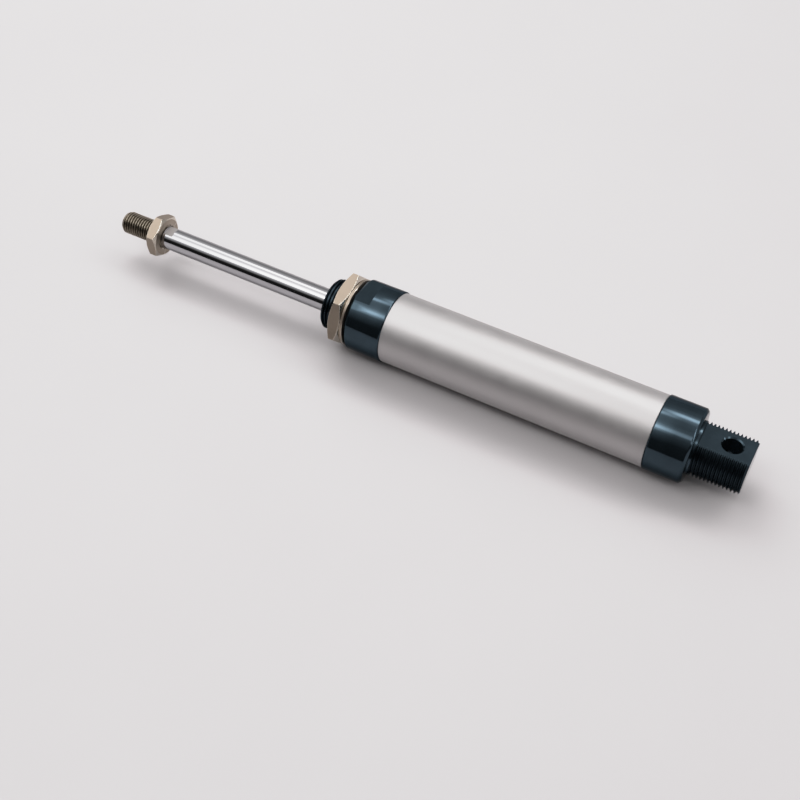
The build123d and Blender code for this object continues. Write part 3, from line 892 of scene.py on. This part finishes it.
# Brightness of the studio by angle round the cylinder's axis, in degrees up from +Y: as seen by
# faces that lean towards the rod's end, and by faces that lean towards the tang
STUDIO_AHEAD = [
    (-90, 0.30), (-12, 0.12), (-8, 0.015), (20, 0.015), (29, 0.25), (38, 0.55), (48, 1.2),
    (55, 5.2), (58, 9.5), (62, 9.5), (67, 4.6), (74, 2.1), (84, 1.5), (94, 1.5), (99, 2.2),
    (103, 6.5), (107, 6.5), (111, 2.2), (118, 1.2), (130, 0.65), (150, 0.40), (180, 0.5),
]
STUDIO_BEHIND = [
    (-90, 0.30), (-12, 0.12), (-8, 0.015), (24, 0.015), (34, 0.15), (45, 0.35), (54, 0.8),
    (58, 3.4), (63, 3.4), (69, 1.2), (80, 0.75), (98, 0.9), (108, 2.2), (114, 8.5), (118, 8.5),
    (123, 2.0), (132, 0.8), (150, 0.42), (180, 0.5),
]
STUDIO_TOP = 9.5
STUDIO_TINT = 0.985
LEAN_RANGE = (0.08, 0.30)
FAR_LIMIT = (0.36, 0.48, 1.0, 0.32)
BACKDROP = (0.79, 0.765, 0.775)


def sky_ramp(tree, value, levels):
    """A ramp of brightness by angle round the axis."""
    stops = []
    for degrees, level in levels:
        grey = level / STUDIO_TOP
        stops.append((degrees / 360 + 0.5, (grey, grey * STUDIO_TINT, grey * STUDIO_TINT)))
    return colour_ramp(tree, value, stops)


def studio_light(tree):
    """The studio's colour by direction, held down where it looks far along the axis."""
    place = tree.nodes.new("ShaderNodeTexCoord")
    parts = tree.nodes.new("ShaderNodeSeparateXYZ")
    tree.links.new(place.outputs["Generated"], parts.inputs["Vector"])
    angle = tree.nodes.new("ShaderNodeMath")
    angle.operation = "ARCTAN2"
    tree.links.new(parts.outputs["Z"], angle.inputs[0])
    tree.links.new(parts.outputs["Y"], angle.inputs[1])
    spread = map_range(tree, angle.outputs["Value"], -math.pi, math.pi)
    lean = map_range(tree, parts.outputs["X"], *LEAN_RANGE)
    blend = mix_colours(tree, lean, sky_ramp(tree, spread, STUDIO_BEHIND),
                        sky_ramp(tree, spread, STUDIO_AHEAD))
    limit = map_range(tree, parts.outputs["X"], *FAR_LIMIT)
    return mix_colours(tree, 1.0, blend, limit, "DARKEN")


def make_world():
    """Soft studio surroundings: two long light banks overhead, a dark horizon and dim walls."""
    world = bpy.data.worlds.new("studio")
    world.use_nodes = True
    tree = world.node_tree
    tree.nodes.clear()
    out = tree.nodes.new("ShaderNodeOutputWorld")
    lit = tree.nodes.new("ShaderNodeBackground")
    lit.inputs["Strength"].default_value = STUDIO_TOP
    tree.links.new(studio_light(tree), lit.inputs["Color"])
    seen = tree.nodes.new("ShaderNodeBackground")
    seen.inputs["Color"].default_value = (*BACKDROP, 1)
    ray = tree.nodes.new("ShaderNodeLightPath")
    choose = tree.nodes.new("ShaderNodeMixShader")
    tree.links.new(ray.outputs["Is Camera Ray"], choose.inputs["Fac"])
    tree.links.new(lit.outputs["Background"], choose.inputs[1])
    tree.links.new(seen.outputs["Background"], choose.inputs[2])
    tree.links.new(choose.outputs["Shader"], out.inputs["Surface"])
    bpy.context.scene.world = world


KEY_SIZE = 0.8
KEY_ENERGY = 9.0
KEY_PLACE = (0.70, -0.40, 0.75)


def make_key_light():
    """A large soft key light from behind and above, which doesn't show in reflections."""
    data = bpy.data.lights.new("key", "AREA")
    data.shape = "RECTANGLE"
    data.size = KEY_SIZE
    data.size_y = KEY_SIZE
    data.energy = KEY_ENERGY
    light = bpy.data.objects.new("key", data)
    bpy.context.scene.collection.objects.link(light)
    light.location = KEY_PLACE
    aim = Vector((MIDDLE, 0, 0)) - light.location
    light.rotation_euler = aim.to_track_quat("-Z", "Y").to_euler()
    light.visible_glossy = False


# The camera: 55 mm lens, 48 cm off the axis, looking down past the tang at the rod's end
SENSOR_WIDTH = 36.0
LENS = 55.12
CLIP_RANGE = (0.01, 20.0)
CAMERA_PLACE = (-0.02364, 0.33896, 0.33896)
CAMERA_FORWARD = (0.30425, -0.63470, -0.71034)
CAMERA_RIGHT = (-0.87914, -0.47423, 0.04718)


def make_camera():
    """Place the camera at the photograph's viewing angle."""
    data = bpy.data.cameras.new("camera")
    data.sensor_width = SENSOR_WIDTH
    data.lens = LENS
    data.clip_start, data.clip_end = CLIP_RANGE
    camera = bpy.data.objects.new("camera", data)
    bpy.context.scene.collection.objects.link(camera)
    forward = Vector(CAMERA_FORWARD)
    right = Vector(CAMERA_RIGHT)
    up = right.cross(forward)
    turn = Matrix((right, up, -forward)).transposed()
    camera.matrix_world = Matrix.Translation(CAMERA_PLACE) @ turn.to_4x4()
    bpy.context.scene.camera = camera


# The camera's response to light: straight up to the knee, then a smooth shoulder below white
KNEE = 0.62
BRIGHTEST = 4.0
SHOULDER_POINTS = 20
COMBINED = 3


def shoulder(light):
    """The tone that a camera gives to a light level over the knee."""
    over = light - KNEE
    return KNEE + (1 - KNEE) * over / (over + 1 - KNEE)


def set_response():
    """Roll the brightest tones off gently instead of clipping them."""
    view = bpy.context.scene.view_settings
    view.view_transform = "Standard"
    view.use_curve_mapping = True
    mapping = view.curve_mapping
    mapping.white_level = (BRIGHTEST,) * 3
    mapping.extend = "HORIZONTAL"
    curve = mapping.curves[COMBINED]
    curve.points[-1].location = (1.0, shoulder(BRIGHTEST))
    for i in range(SHOULDER_POINTS):
        light = KNEE * (BRIGHTEST / KNEE) ** (i / SHOULDER_POINTS)
        curve.points.new(light / BRIGHTEST, shoulder(light))
    for point in curve.points:
        point.handle_type = "VECTOR"
    mapping.update()


def main():
    """Build the pieces, dress them, and set the stage."""
    barrel = make_barrel()
    rear = make_rear_cap()
    front = make_front_cap()
    nuts = make_nuts()
    rod = make_rod()
    dress(make_materials(), barrel, rear, front, nuts, rod)
    make_floor()
    make_world()
    make_key_light()
    make_camera()
    set_response()


main()
